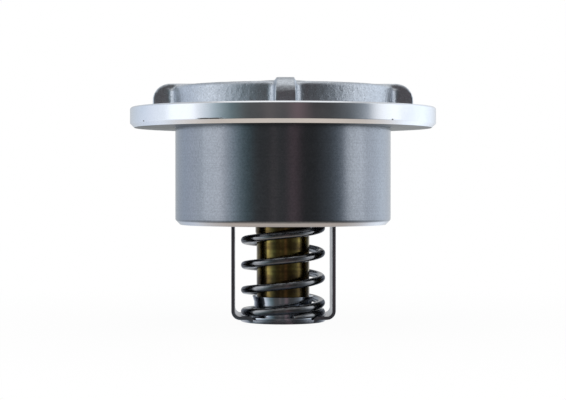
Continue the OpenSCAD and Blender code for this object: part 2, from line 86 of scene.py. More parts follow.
def place_camera():
    """Stands the camera left of the front and points it at the middle of the object."""
    camera = bpy.data.objects.new("camera", bpy.data.cameras.new("camera"))
    camera.data.lens = LENS
    camera.data.sensor_width = SENSOR_WIDTH
    camera.data.clip_start = NEAREST_SEEN
    camera.data.clip_end = FURTHEST_SEEN
    aside = CAMERA_BACK * math.sin(CAMERA_TURN)
    back = CAMERA_BACK * math.cos(CAMERA_TURN)
    camera.location = (-aside, -back, CAMERA_HEIGHT)
    toward = Vector((0, 0, AIM_HEIGHT)) - camera.location
    camera.rotation_euler = toward.to_track_quat("-Z", "Y").to_euler()
    bpy.context.scene.collection.objects.link(camera)
    bpy.context.scene.camera = camera


place_camera()
bpy.context.scene.view_settings.view_transform = "Standard"
print("camera with a lens of", LENS, "mm, at", round(CAMERA_BACK / MM), "mm from the axis")

# %% [markdown]
# ## Building finishes from nodes
#
# Every finish here is made of shader nodes, and most of them need the same few:
# noise, a colour ramp, some arithmetic. Writing each node by hand takes three
# or four lines, so one short helper adds a node, fills its sockets and links
# whatever is itself a socket. The finishes then read like recipes.

# %% Add a node
def add(tree, kind, inputs=None, **settings):
    """Adds one node, with its own settings, and fills its sockets with values or links."""
    made = tree.nodes.new(kind)
    for key, value in settings.items():
        setattr(made, key, value)
    for socket, value in (inputs or {}).items():
        if isinstance(value, bpy.types.NodeSocket):
            tree.links.new(value, made.inputs[socket])
        else:
            made.inputs[socket].default_value = value
    return made


# %% [markdown]
# Four steps come up again and again: a colour that changes along a ramp, a sum,
# a mix of two colours, and a value carried over from one range to another.

# %% Colours and values from nodes
def ramp(tree, factor, stops):
    """Colour along a factor, from a list of (position, grey or colour)."""
    made = add(tree, "ShaderNodeValToRGB", {"Fac": factor})
    marks = made.color_ramp.elements
    while len(marks) < len(stops):
        marks.new(1)
    for mark, (position, colour) in zip(marks, stops):
        mark.position = position
        mark.color = (*colour, 1) if isinstance(colour, tuple) else (colour, colour, colour, 1)
    return made.outputs["Color"]


def maths(tree, operation, *values):
    """The result of one operation on numbers or links."""
    return add(tree, "ShaderNodeMath", dict(enumerate(values)), operation=operation).outputs[0]


def mixed(tree, share, first, second):
    """A colour between two, or between two links, by the share of the second."""
    return add(tree, "ShaderNodeMixRGB", {"Fac": share, "Color1": first, "Color2": second}).outputs[0]


def span(tree, value, start, end, low=0.0, high=1.0):
    """A value that lies from start to end, carried over to the range from low to high."""
    return add(tree, "ShaderNodeMapRange", {
        "Value": value, "From Min": start, "From Max": end, "To Min": low, "To Max": high}).outputs[0]


# %% [markdown]
# ## The studio
#
# Polished metal shows its surroundings more than its own colour. In the
# photograph the rim is white on both sides and dark in the middle: the object
# stood in a white tent, and the open front of the tent, where the camera
# stands, was dark. The world below is that tent. It is bright all round, and
# dims towards the front, with the direction as its only input. The camera
# itself sees plain white behind the object.
#
# The edges of the dark front matter most, because they are the crisp vertical
# borders on the rim and on the sleeve. So they are stops on a ramp over the
# azimuth, in degrees from the front and to the right. Higher up, from WALL_TOP
# to ROOF_FROM over the floor, they give way to the single tone of the roof.

# %% Tones of the tent
TENT_TONES = [
    (-180, 0.62),
    (-150, (0.59, 0.64, 0.70)),
    (-128, (0.64, 0.71, 0.82)),
    (-112, (0.77, 0.82, 0.92)),
    (-98, (0.85, 0.90, 0.97)),
    (-78, (0.84, 0.87, 0.92)),
    (-66, (0.88, 0.90, 0.95)),
    (-59, (0.68, 0.73, 0.79)),
    (-52, (0.41, 0.49, 0.54)),
    (-44, (0.20, 0.26, 0.28)),
    (-36, (0.11, 0.15, 0.16)),
    (-28, 0.085),
    (-15, 0.07),
    (-10, (0.14, 0.12, 0.12)),
    (-4, 0.08),
    (3, 0.075),
    (10, (0.18, 0.125, 0.135)),
    (21, 0.05),
    (34, 0.055),
    (50, (0.115, 0.125, 0.135)),
    (61, (0.215, 0.245, 0.275)),
    (70, (0.50, 0.53, 0.58)),
    (77, (0.75, 0.78, 0.82)),
    (100, (0.95, 0.99, 1.06)),
    (128, (1.10, 1.18, 1.28)),
    (148, (0.86, 0.91, 0.98)),
    (180, 0.62),
]
WALL_TOP = math.radians(22)
ROOF_FROM = math.radians(66)
ROOF_TONE = (0.55, 0.55, 0.55, 1)
WHITE = (1, 1, 1, 1)
print("the tent has", len(TENT_TONES), "tones round the object and one roof")

# %% World
def azimuth_of(tree, part):
    """The direction of a place seen from above, in radians from the object's front."""
    return maths(tree, "ARCTAN2", part["X"], maths(tree, "MULTIPLY", part["Y"], -1.0))


def tones_round(tree, part):
    """The tent's tone in the direction of a place, from its X and Y alone."""
    turned = maths(tree, "ADD", azimuth_of(tree, part), CAMERA_TURN)
    around = maths(tree, "MULTIPLY_ADD", turned, 0.5 / math.pi, 0.5)
    return ramp(tree, around, [(degrees / 360 + 0.5, tone) for degrees, tone in TENT_TONES])


def light_world():
    """Makes the tent the world, and plain white for the camera itself."""
    world = bpy.data.worlds.new("tent")
    world.use_nodes = True
    tree = world.node_tree
    background = tree.nodes["Background"]
    direction = add(tree, "ShaderNodeTexCoord").outputs["Generated"]
    part = add(tree, "ShaderNodeSeparateXYZ", {0: direction}).outputs
    lift = add(tree, "ShaderNodeMapRange", {
        "Value": part["Z"], "From Min": math.sin(WALL_TOP), "From Max": math.sin(ROOF_FROM),
    }, interpolation_type="SMOOTHSTEP").outputs[0]
    tent = mixed(tree, lift, tones_round(tree, part), ROOF_TONE)
    seen = add(tree, "ShaderNodeLightPath").outputs["Is Camera Ray"]
    tree.links.new(mixed(tree, seen, tent, WHITE), background.inputs["Color"])
    background.inputs["Strength"].default_value = 1
    bpy.context.scene.world = world


light_world()

# %% [markdown]
# Three soft lamps add what an even tent lacks: a direction. One hangs above, so
# that the upper edges shine and a faint shadow falls on the floor, and one
# stands at each side, a little in front of the object.

# %% Lamps
LIT_CENTRE = Vector((0, 0, 40 * MM))


def softbox(name, place, size, power):
    """A rectangular lamp, in metres and watts, that faces the middle of the object."""
    lamp = bpy.data.objects.new(name, bpy.data.lights.new(name, "AREA"))
    lamp.data.shape = "RECTANGLE"
    lamp.data.size, lamp.data.size_y = size
    lamp.data.energy = power
    lamp.location = place
    lamp.rotation_euler = (LIT_CENTRE - lamp.location).to_track_quat("-Z", "Y").to_euler()
    bpy.context.scene.collection.objects.link(lamp)
    print(name, "of", power, "W")


softbox("overhead softbox", (0, 0, 0.75), (0.6, 0.6), 0.5)
for name, aside in (("left softbox", -0.62), ("right softbox", 0.62)):
    softbox(name, (aside, -0.12, 0.16), (0.30, 0.55), 0.15)

# %% [markdown]
# The floor is a large pale sheet of paper. What the metal sees of it is painted
# into its glow: a painted shadow right under the base, where the object keeps
# the light away, and then a warm grey. Further off, and wherever it is met at a
# low angle, it glows in the tent's tones instead, a painted reflection of the
# tent. STEEP and GRAZING are the values of the Layer Weight's Facing at which
# this painted reflection begins and is full.

# %% What the metal sees of the floor
# The first of these tones is a painted shadow right under the base.
FLOOR_TONES = [
    (19 * MM, (0.065, 0.08, 0.105)),
    (31 * MM, (0.64, 0.56, 0.49)),
    (55 * MM, (0.66, 0.575, 0.50)),
]
FLOOR_NEAR = 55 * MM
FLOOR_FAR = 90 * MM
STEEP = 0.12
GRAZING = 0.45


def floor_in_metal(tree, place, away):
    """The floor's painted tone in a reflection, at a place and at this distance from the axis: painted
    shadow near the axis, and the tent's tones as a painted reflection far off and at low angles.
    """
    # Near the axis the tone is a painted shadow, further out the paper's warm grey.
    near_tone_with_painted_shadow = ramp(tree, maths(tree, "DIVIDE", away, FLOOR_FAR), [
        (radius / FLOOR_FAR, tone) for radius, tone in FLOOR_TONES])
    painted_tent_reflection = tones_round(tree, add(tree, "ShaderNodeSeparateXYZ", {0: place}).outputs)
    fade = span(tree, away, FLOOR_NEAR, FLOOR_FAR)
    # Far off and at low angles the floor glows in the tent's tones: a painted reflection.
    painted_reflection_share = span(tree, add(tree, "ShaderNodeLayerWeight").outputs["Facing"], STEEP, GRAZING)
    return mixed(tree, maths(tree, "MAXIMUM", fade, painted_reflection_share), near_tone_with_painted_shadow, painted_tent_reflection)


# %% [markdown]
# To the camera the floor is white like the backdrop. It keeps only a trace of
# the shadow, because a little of the plain paper is mixed in near the object.
# Seen from below the sheet is clear, so that the object can be looked at from
# there too.

# %% Floor
FLOOR_SIZE = 3.0
FLOOR_DROP = 0.02 * MM
SHADOW_KEPT = 0.04
SHADOW_NEAR = 30 * MM
SHADOW_FAR = 160 * MM
PAPER = (0.86, 0.84, 0.82, 1)


def pale_floor():
    """White to the camera, with painted shadow and painted reflection in the metal, clear from below."""
    sheet = bpy.data.materials.new("pale floor")
    sheet.use_nodes = True
    tree = sheet.node_tree
    tree.nodes.clear()
    place = add(tree, "ShaderNodeTexCoord").outputs["Object"]
    away = add(tree, "ShaderNodeVectorMath", {0: place}, operation="LENGTH").outputs["Value"]
    paths = add(tree, "ShaderNodeLightPath").outputs
    tone = mixed(tree, paths["Is Camera Ray"], floor_in_metal(tree, place, away), WHITE)
    glow = add(tree, "ShaderNodeEmission", {"Color": tone}).outputs[0]
    paper = add(tree, "ShaderNodeBsdfDiffuse", {"Color": PAPER}).outputs[0]
    looked_at = maths(tree, "MAXIMUM", paths["Is Camera Ray"], paths["Is Glossy Ray"])
    looked_at = maths(tree, "MAXIMUM", looked_at, paths["Is Transmission Ray"])
    glowing = maths(tree, "MULTIPLY", looked_at, span(tree, away, SHADOW_NEAR, SHADOW_FAR, 1 - SHADOW_KEPT))
    from_above = add(tree, "ShaderNodeMixShader", {"Fac": glowing, 1: paper, 2: glow}).outputs[0]
    below = add(tree, "ShaderNodeNewGeometry").outputs["Backfacing"]
    clear = add(tree, "ShaderNodeBsdfTransparent").outputs[0]
    one_way = add(tree, "ShaderNodeMixShader", {"Fac": below, 1: from_above, 2: clear}).outputs[0]
    add(tree, "ShaderNodeOutputMaterial", {"Surface": one_way})
    return sheet


bpy.ops.mesh.primitive_plane_add(size=FLOOR_SIZE, location=(0, 0, -FLOOR_DROP))
floor = bpy.context.object
floor.name = "floor"
floor.data.materials.append(pale_floor())
print("floor of", FLOOR_SIZE, "m laid", round(FLOOR_DROP / MM, 2), "mm under the base")

# %% [markdown]
# ## Turned pieces
#
# Most of this thermostat came off a lathe: the flange, the sleeve, the can, the
# guide, the bush, the pin. A turned piece is one outline swept round its axis.
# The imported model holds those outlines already, so nothing is measured twice:
# a half plane cuts the solid open, and what lies on the cut is the outline.
# Blender gives the cut as loose edges, so they are walked from one to the next.

# %% Walk along a cut
TINY = 1e-18


def walk_edges(solid):
    """The points of each chain of edges, closed or open, in order."""
    chains = []
    left = dict.fromkeys(solid.edges)
    while left:
        ends = [v for e in left for v in e.verts if sum(f in left for f in v.link_edges) == 1]
        here = ends[0] if ends else next(iter(left)).verts[0]
        chain = [here.co.xz]
        edge = next((e for e in here.link_edges if e in left), None)
        while edge:
            del left[edge]
            here = edge.other_vert(here)
            chain.append(here.co.xz)
            edge = next((e for e in here.link_edges if e in left), None)
        chains.append(chain)
    return chains


def nearest_on(chain, point):
    """How far a point lies from a chain, and how far along the chain."""
    best = (math.inf, 0)
    along = 0
    for a, b in zip(chain, chain[1:]):
        side = b - a
        share = max(0, min(1, (point - a).dot(side) / max(side.length_squared, TINY)))
        best = min(best, ((a + side * share - point).length, along + side.length * share))
        along += side.length
    return best


# %% [markdown]
# The solid's rings have a limited number of sides, and a cut between two of
# their corners lies a little too near the axis. So the cut only gives the order
# of the points. Their radius and height come from the rings' true corners.

# %% True corners of an outline
RING_VERTS = 8
SNAP_REACH = 0.15 * MM


def ring_corners(solid):
    """The radius and height of each ring of vertices in a solid."""
    count = {}
    for v in solid.verts:
        corner = (round(v.co.xy.length, 7), round(v.co.z, 7))
        count[corner] = count.get(corner, 0) + 1
    return [Vector(corner) for corner, found in count.items() if found >= RING_VERTS]


def corners_along(chains, corners):
    """For each chain, the corners that lie nearer to it than to any other, in order."""
    found = [[] for chain in chains]
    for corner in corners:
        near = [nearest_on(chain, corner) for chain in chains]
        k = min(range(len(chains)), key=lambda i: near[i][0])
        if near[k][0] < SNAP_REACH:
            found[k].append((near[k][1], corner))
    return [[corner for along, corner in sorted(on, key=lambda f: f[0])] for on in found]


# %% [markdown]
# An outline is easier to work with if it always runs the same way: an open one
# upwards and a closed one anticlockwise. Points in line with their neighbours
# are dropped, so that each point that is left is a corner.

# %% Put an outline in order
IN_LINE = math.radians(1)


def runs_backwards(points, closed):
    """True for an open outline that comes down, or a closed one that runs clockwise."""
    if not closed:
        return points[0].y > points[-1].y
    return sum(a.cross(b) for a, b in zip(points, points[1:] + points[:1])) < 0


def without_straights(points, closed):
    """Drops the points that lie in line with their neighbours."""
    kept = []
    for i, p in enumerate(points):
        at_end = not closed and i in (0, len(points) - 1)
        a = p - points[i - 1]
        b = points[(i + 1) % len(points)] - p
        if at_end or abs(a.angle_signed(b, 0)) > IN_LINE:
            kept.append(p)
    return kept


# %% [markdown]
# With these helpers a node is read in one go. The cut stands at an angle that
# misses the arms of the casting. A solid that holds its own axis, such as the
# pin, gives an outline that is open at the axis.

# %% Cut a solid open
CUT_AZIMUTH = math.radians(41.3)


def axis_of(node):
    """The place of a turned node's own axis, on the nearest tenth of a millimetre."""
    low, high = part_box(node)
    middle = (low + high) / (2 * MM)
    return Vector((round(middle.x, 1), round(middle.y, 1), 0)) * MM


def cut_open(solid):
    """Keeps only what lies on the half plane at CUT_AZIMUTH, turned onto the X axis."""
    solid.transform(Matrix.Rotation(-CUT_AZIMUTH, 4, "Z"))
    for plane, both_sides in (((1, 0, 0), False), ((0, 1, 0), True)):
        parts = solid.verts[:] + solid.edges[:] + solid.faces[:]
        bmesh.ops.bisect_plane(
            solid, geom=parts, plane_co=(0, 0, 0), plane_no=plane,
            clear_inner=True, clear_outer=both_sides)


# %% Read the outlines of a node
SAME_POINT = 0.002 * MM
CLOSED_GAP = 0.001 * MM


def outlines_of(node):
    """The outlines (radius, height) of a turned node, the one that reaches furthest out first.
    Each comes with True if it is closed."""
    solid = bmesh.new()
    solid.from_mesh(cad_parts[node].data)
    solid.transform(Matrix.Translation(-axis_of(node)))
    bmesh.ops.remove_doubles(solid, verts=solid.verts, dist=SAME_POINT)
    corners = ring_corners(solid)
    cut_open(solid)
    chains = walk_edges(solid)
    solid.free()
    outlines = []
    for chain, points in zip(chains, corners_along(chains, corners)):
        closed = (chain[0] - chain[-1]).length < CLOSED_GAP
        if not closed:
            points = [Vector((0, chain[0].y))] + points + [Vector((0, chain[-1].y))]
        if len(points) > 2:
            if runs_backwards(points, closed):
                points.reverse()
            outlines.append((without_straights(points, closed), closed))
    return sorted(outlines, key=lambda o: -max(p.x for p in o[0]))


for part in ("slide_sleeve", "element_can", "guide_bush"):
    points, closed = outlines_of(part)[0]
    print(part, "outline has", len(points), "points, closed" if closed else "points, open at the axis")

# %% [markdown]
# Two more steps turn an outline into a piece. Real edges are never knife sharp,
# and the thin bright line along an edge is what tells the eye that the part is
# metal. So each sharp corner of the outline becomes a small arc.

# %% Ease the corners
SHARP_TURN = math.radians(25)
LARGEST_TURN = math.radians(170)
EASE_STEPS = 3
MOST_OF_SIDE = 0.45


def eased(points, closed, radius):
    """The outline with an arc of about this radius in place of each sharp corner."""
    made = []
    for i, p in enumerate(points):
        if not closed and i in (0, len(points) - 1):
            made.append(p)
            continue
        come = p - points[i - 1]
        go = points[(i + 1) % len(points)] - p
        turn = min(abs(come.angle_signed(go, 0)), LARGEST_TURN)
        if turn < SHARP_TURN:
            made.append(p)
            continue
        back = min(radius * math.tan(turn / 2), MOST_OF_SIDE * come.length, MOST_OF_SIDE * go.length)
        start = p - come.normalized() * back
        end = p + go.normalized() * back
        for k in range(EASE_STEPS + 1):
            t = k / EASE_STEPS
            made.append(start * (1 - t) ** 2 + p * 2 * t * (1 - t) + end * t ** 2)
    return made


square = [Vector(corner) * MM for corner in ((0, 0), (1, 0), (1, 1), (0, 1))]
print("a square of 4 points has", len(eased(square, True, 0.1 * MM)), "once its corners are eased")

# %% [markdown]
# Then the outline is swept round. The flat walls should stay flat in the
# shading, so the normals are weighted by face area.

# %% Make a piece from a mesh
WELD = 0.0005 * MM


def smooth_object(name, mesh):
    """A smooth-shaded object from a bmesh, with its doubled points merged."""
    bmesh.ops.remove_doubles(mesh, verts=mesh.verts, dist=WELD)
    bmesh.ops.recalc_face_normals(mesh, faces=mesh.faces)
    for face in mesh.faces:
        face.smooth = True
    data = bpy.data.meshes.new(name)
    mesh.to_mesh(data)
    mesh.free()
    made = bpy.data.objects.new(name, data)
    bpy.context.scene.collection.objects.link(made)
    return made


def new_piece(name, mesh):
    """A smooth-shaded object whose flat faces look flat."""
    piece = smooth_object(name, mesh)
    piece.modifiers.new("flat faces stay flat", "WEIGHTED_NORMAL").keep_sharp = True
    return piece


# %% Sweep an outline
SWEEP_STEPS = 192


def swept(name, outlines, steps=SWEEP_STEPS):
    """A turned piece: each outline, a list of points and whether it is closed, swept round."""
    mesh = bmesh.new()
    for points, closed in outlines:
        rings = [
            [mesh.verts.new((p.x * math.cos(a), p.x * math.sin(a), p.y))
             for a in (2 * math.pi * k / steps for k in range(steps))]
            for p in points
        ]
        pairs = list(zip(rings, rings[1:])) + ([(rings[-1], rings[0])] if closed else [])
        for low, high in pairs:
            for k in range(steps):
                mesh.faces.new((low[k], low[k - 1], high[k - 1], high[k]))
    return new_piece(name, mesh)


# %% [markdown]
# A finished piece takes its place in the frame: it rides on a body, takes a
# finish, and stands for a node of the imported model.

# %% Settle a piece in the frame
def turned(name, node, edge):
    """A turned piece that stands for a node, with its sharp edges eased by this radius."""
    piece = swept(name, [(eased(points, closed, edge), closed) for points, closed in outlines_of(node)])
    piece.data.transform(Matrix.Translation(axis_of(node)))
    print(name, "has", len(piece.data.polygons), "faces")
    return piece


def settle(piece, body, finish, node):
    """Gives a piece its finish and body, and lets it stand for the node."""
    piece.data.materials.clear()
    piece.data.materials.append(finish)
    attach(piece, body)
    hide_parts(node)


# %% [markdown]
# ## What the finishes share
#
# A metal finish has four layers: the colour of the metal, slow clouds in colour
# and polish where it was handled or has dulled, the marks of the tool, and
# specks. All of them are measured in millimetres on the piece itself, so the
# grain stays the same size on a rivet and on the flange.
#
# A finish that is stretched, which the shader calls anisotropic, blurs its
# reflections across the rings of the lathe and not along them. Its tangent
# says which way the rings run: round the Z axis.

# %% Begin a finish and dress it
def begin(name, metallic=1.0, **own):
    """A finish, its node tree and the place on the piece in millimetres."""
    finish = bpy.data.materials.new(name)
    finish.use_nodes = True
    tree = finish.node_tree
    shader = tree.nodes["Principled BSDF"]
    shader.inputs["Metallic"].default_value = metallic
    for socket, value in own.items():
        shader.inputs[socket.replace("_", " ")].default_value = value
    if "Anisotropic" in own:
        round_z = add(tree, "ShaderNodeTangent", direction_type="RADIAL", axis="Z").outputs[0]
        tree.links.new(round_z, shader.inputs["Tangent"])
    place = add(tree, "ShaderNodeTexCoord").outputs["Object"]
    place = add(tree, "ShaderNodeVectorMath", {0: place, "Scale": 1 / MM}, operation="SCALE")
    return finish, tree, place.outputs[0]


def dressed(finish, colour, roughness, bump):
    """The finish, with its colour, roughness and bump linked to its shader."""
    tree = finish.node_tree
    for socket, layer in (("Base Color", colour), ("Roughness", roughness), ("Normal", bump)):
        tree.links.new(layer, tree.nodes["Principled BSDF"].inputs[socket])
    return finish


# %% [markdown]
# The layers themselves are short as well: noise for the clouds and specks, its
# middle stretched over a range of polish, bump for the marks, and a tint.

# %% Layers of a finish
def clouds(tree, place, per_mm, detail=3.0, harsh=0.55):
    """Noise with so many lumps per millimetre."""
    return add(tree, "ShaderNodeTexNoise", {
        "Vector": place, "Scale": per_mm, "Detail": detail, "Roughness": harsh}).outputs[0]


def spread(tree, cloud, low, high, start=0.32, end=0.68):
    """The middle of a noise, where most of it lies, stretched from one value to another."""
    return span(tree, cloud, start, end, low, high)


def relief(tree, height, depth, under=None):
    """Bump of so many millimetres, on top of another one if given."""
    inputs = {"Height": height, "Distance": depth * MM, "Strength": 1.0}
    if under:
        inputs["Normal"] = under
    return add(tree, "ShaderNodeBump", inputs).outputs[0]


def tinted(tree, colour, factor):
    """A colour darkened by a factor."""
    return add(tree, "ShaderNodeMixRGB", {
        "Fac": 1.0, "Color1": colour, "Color2": factor}, blend_type="MULTIPLY").outputs[0]


# %% [markdown]
# A lathe leaves rings. Radius and height don't change round the axis, so noise
# that is given only these two can't draw anything but rings. A slow wobble
# keeps them from looking as if they were ruled.

# %% Marks of the lathe
def height_of(tree, place):
    """The height of a place in millimetres."""
    return add(tree, "ShaderNodeSeparateXYZ", {0: place}).outputs["Z"]


def lathe_place(tree, place, wobble=0.15):
    """Radius and height of a place, with a wobble of up to so many millimetres."""
    flat = add(tree, "ShaderNodeVectorMath", {0: place, 1: (1, 1, 0)}, operation="MULTIPLY").outputs[0]
    radius = add(tree, "ShaderNodeVectorMath", {0: flat}, operation="LENGTH").outputs["Value"]
    slow = maths(tree, "MULTIPLY", clouds(tree, place, 0.06, 1.0), wobble)
    return add(tree, "ShaderNodeCombineXYZ", {
        "X": maths(tree, "ADD", radius, slow),
        "Y": maths(tree, "ADD", height_of(tree, place), slow)}).outputs[0]


# %% [markdown]
# ## The flange
#
# The casting carries two very different skins. The flange was turned after
# casting: it is bright, nearly mirror-like along the rim, with fine rings. The
# rest kept its skin from the mould. One solid can't show both well, so the
# flange is swept from its outline and the cast skin is a piece of its own.
#
# The rings of a lathe blur a reflection across them and not along them. That is
# why the borders of the dark band on the rim stay crisp while nothing shows of
# the floor or the sky. The underside, which the gasket covers, was faced with a
# coarser tool, which makes it duller. Its dark colour is painted shade, because
# it faces down into the flange's own shadow.
#
# A few knocks have left small dark dents along the lower edge. NICKS gives the
# direction of each one in degrees and half its length in millimetres.

# %% Dents along an edge
NICKS = ((-27.4, 4.6), (-62.0, 0.5), (41.0, 0.4))
NICK_HEIGHT = 0.2
NICK_RAGGED = 0.9


def nicks(tree, place, edge_height):
    """1 inside the few small dents along an edge at this height, fading to 0."""
    part = add(tree, "ShaderNodeSeparateXYZ", {0: place}).outputs
    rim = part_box("housing_casting")[1].x / MM
    azimuth = azimuth_of(tree, part)
    ragged = maths(tree, "MULTIPLY_ADD", clouds(tree, place, 2.2, 3), NICK_RAGGED, -NICK_RAGGED / 2)
    level = maths(tree, "ABSOLUTE", maths(tree, "SUBTRACT", part["Z"], edge_height))
    level = maths(tree, "DIVIDE", level, NICK_HEIGHT)
    best = None
    for degrees, half_length in NICKS:
        away = maths(tree, "ABSOLUTE", maths(tree, "SUBTRACT", azimuth, math.radians(degrees)))
        away = maths(tree, "MULTIPLY", away, rim / half_length)
        away = maths(tree, "ADD", maths(tree, "MAXIMUM", away, level), ragged)
        inside = span(tree, away, 0.5, 1.1, 1.0, 0.0)
        best = maths(tree, "MAXIMUM", best, inside) if best else inside
    return best


# %% Machined aluminium
NICK_DULLER = 0.4
FACE_DEPTH = 0.1
# The underside's dark tone is painted shade.
PAINTED_UNDERSIDE_SHADE = (0.20, 0.215, 0.21, 1)
FACED_DULLER = 0.2


def machined_aluminium(edge_height, underside):
    """Bright turned metal, dented along the edge, and duller with painted shade on the underside at these
    heights.
    """
    finish, tree, place = begin("machined aluminium", Anisotropic=0.55)
    rings = lathe_place(tree, place)
    fine = clouds(tree, rings, 8, 4)
    broad = clouds(tree, rings, 1.1, 2)
    cloud = clouds(tree, place, 0.11, 4, 0.62)
    dent = nicks(tree, place, edge_height)
    faced_and_painted_shade = span(tree, height_of(tree, place), underside + FACE_DEPTH, underside + FACE_DEPTH / 2)
    colour = ramp(tree, cloud, [(0.34, (0.82, 0.855, 0.90)), (0.64, (0.90, 0.92, 0.95))])
    colour = tinted(tree, colour, ramp(tree, dent, [(0.35, 1.0), (0.8, (0.16, 0.14, 0.12))]))
    # The underside's darker colour is painted shade; its extra dullness is the coarser facing.
    colour = mixed(tree, faced_and_painted_shade, colour, PAINTED_UNDERSIDE_SHADE)
    dullness = spread(tree, cloud, 0.13, 0.21)
    dullness = maths(tree, "MULTIPLY_ADD", faced_and_painted_shade, FACED_DULLER, dullness)
    dullness = maths(tree, "MULTIPLY_ADD", dent, NICK_DULLER, dullness)
    return dressed(finish, colour, dullness, relief(tree, fine, 0.004, relief(tree, broad, 0.006)))


# %% [markdown]
# The outline of the casting, read between two arms, runs round the flange and
# up over the collar. Everything above the flange's top face belongs to the cast
# skin, so the outline is closed just below that face, and inside the bore it
# steps back behind the cast wall to leave a narrow turned lip.

# %% Sizes of the casting
NEAR_FACE = 0.5 * MM
LIP_HEIGHT = 2.4 * MM
CASTING = outlines_of("housing_casting")[0][0]
RIM_R = max(p.x for p in CASTING)
OUTER_R = 0.9 * RIM_R
FLANGE_LOW = min(p.y for p in CASTING)
FLANGE_TOP = max(p.y for p in CASTING if p.x > OUTER_R)
FLANGE_MIDDLE = (FLANGE_LOW + FLANGE_TOP) / 2
LOW_EDGE = max(p.y for p in CASTING if p.x > RIM_R - NEAR_FACE and p.y < FLANGE_MIDDLE)
BORE_R = min(p.x for p in CASTING if p.y < FLANGE_LOW + NEAR_FACE)
COLLAR_R = max(p.x for p in CASTING if p.y > FLANGE_TOP + NEAR_FACE)
LIP_TOP = FLANGE_LOW + LIP_HEIGHT
print("flange from", round(FLANGE_LOW / MM, 2), "to", round(FLANGE_TOP / MM, 2), "mm high")
print("rim radius", round(RIM_R / MM, 2), "mm, collar radius", round(COLLAR_R / MM, 2), "mm")

# %% Flange
BEHIND_SKIN = 0.5 * MM
SHELF_DROP = 0.1 * MM
HAIR = 0.01 * MM
FLANGE_EDGE = 0.12 * MM
FLANGE_STEPS = 256
FINE_TURNED = machined_aluminium(LOW_EDGE / MM, FLANGE_LOW / MM)


def flange_outline():
    """The turned part of the casting's outline, closed behind the cast skin."""
    shelf = FLANGE_TOP - SHELF_DROP
    points = [p for p in CASTING if p.y <= FLANGE_TOP and p.x > BORE_R - HAIR]
    points = [p for p in points if p.x > OUTER_R or p.y < LIP_TOP + NEAR_FACE]
    first = min(range(len(points)), key=lambda i: tuple(points[i]))
    return points[first:] + points[:first] + [
        Vector((COLLAR_R - BEHIND_SKIN, FLANGE_TOP)),
        Vector((COLLAR_R - BEHIND_SKIN, shelf)),
        Vector((BORE_R + BEHIND_SKIN, shelf)),
        Vector((BORE_R + BEHIND_SKIN, LIP_TOP)),
        Vector((BORE_R, LIP_TOP)),
    ]


flange = swept("machined_flange", [(eased(flange_outline(), True, FLANGE_EDGE), True)], FLANGE_STEPS)
settle(flange, "housing", FINE_TURNED, "housing_casting")
print("flange has", len(flange.data.polygons), "faces")

# %% [markdown]
# ## The cast skin
#
# Collar, arms and boss came out of a mould. Such a skin has no sharp edge at
# all and a fine grain like orange peel, from the mould's coating. Modelling
# each rounded edge would be slow. A voxel remesh of a copy of the solid turns
# everything into even little squares, and a few rounds of smoothing then round
# every edge by the same small amount and leave a soft fillet in each corner.
#
# The mould was never perfectly smooth either, so each point sinks by up to a
# few hundredths of a millimetre, by a noise that depends on its place alone.
# The grain that is finer than the squares is bump.

# %% Cast aluminium
def cast_aluminium():
    """A dull skin with a grain, a slower unevenness and scattered pits."""
    finish, tree, place = begin("cast aluminium")
    grain = clouds(tree, place, 2.3, 5, 0.66)
    peel = clouds(tree, place, 0.75, 3)
    cloud = clouds(tree, place, 0.09, 3)
    cells = add(tree, "ShaderNodeTexVoronoi", {"Vector": place, "Scale": 0.8, "Randomness": 1.0})
    pit = span(tree, cells.outputs["Distance"], 0.05, 0.16)
    colour = ramp(tree, cloud, [(0.3, (0.58, 0.625, 0.68)), (0.7, (0.67, 0.715, 0.77))])
    colour = tinted(tree, colour, ramp(tree, grain, [(0.33, 0.72), (0.60, 1.0)]))
    colour = tinted(tree, colour, ramp(tree, pit, [(0.0, 0.62), (0.9, 1.0)]))
    bump = relief(tree, grain, 0.07, relief(tree, peel, 0.07))
    return dressed(finish, colour, spread(tree, grain, 0.37, 0.25), relief(tree, pit, 0.04, bump))


CAST = cast_aluminium()

# %% [markdown]
# The skin stays a closed solid. A stepped disc in the shape of what was never
# machined is laid over the blank, and only what both share is kept.

# %% What kept its skin from the mould
WALL_MIDDLE_R = (BORE_R + COLLAR_R) / 2
SKIN_LOW = FLANGE_TOP + 0.02 * MM
BEYOND = 3 * MM
BORE_CLEAR = 1 * MM
REGION_STEPS = 96


def raw_region():
    """A solid round everything that kept its skin from the mould."""
    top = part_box("housing_casting")[1].z + BEYOND
    bottom = FLANGE_LOW - BEYOND
    inside = BORE_R - BORE_CLEAR
    outside = RIM_R + BEYOND
    corners = [
        (0, bottom), (inside, bottom), (inside, LIP_TOP), (WALL_MIDDLE_R, LIP_TOP),
        (WALL_MIDDLE_R, SKIN_LOW), (outside, SKIN_LOW), (outside, top), (0, top),
    ]
    return swept("raw region", [([Vector(c) for c in corners], False)], REGION_STEPS)


# %% Copy in even little squares
def remeshed_copy(name, node, voxel, region=None):
    """A copy of a node, or of what it shares with a region, made of even little squares."""
    copy = bpy.data.objects.new(name + " blank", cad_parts[node].data.copy())
    bpy.context.scene.collection.objects.link(copy)
    if region:
        shared = copy.modifiers.new("shared with the region", "BOOLEAN")
        shared.operation = "INTERSECT"
        shared.solver = "EXACT"
        shared.object = region
    remesh = copy.modifiers.new("even squares", "REMESH")
    remesh.mode = "VOXEL"
    remesh.voxel_size = voxel
    ready = copy.evaluated_get(bpy.context.evaluated_depsgraph_get())
    mesh = bmesh.new()
    mesh.from_mesh(ready.to_mesh())
    bpy.data.objects.remove(copy)
    if region:
        bpy.data.objects.remove(region)
    return mesh


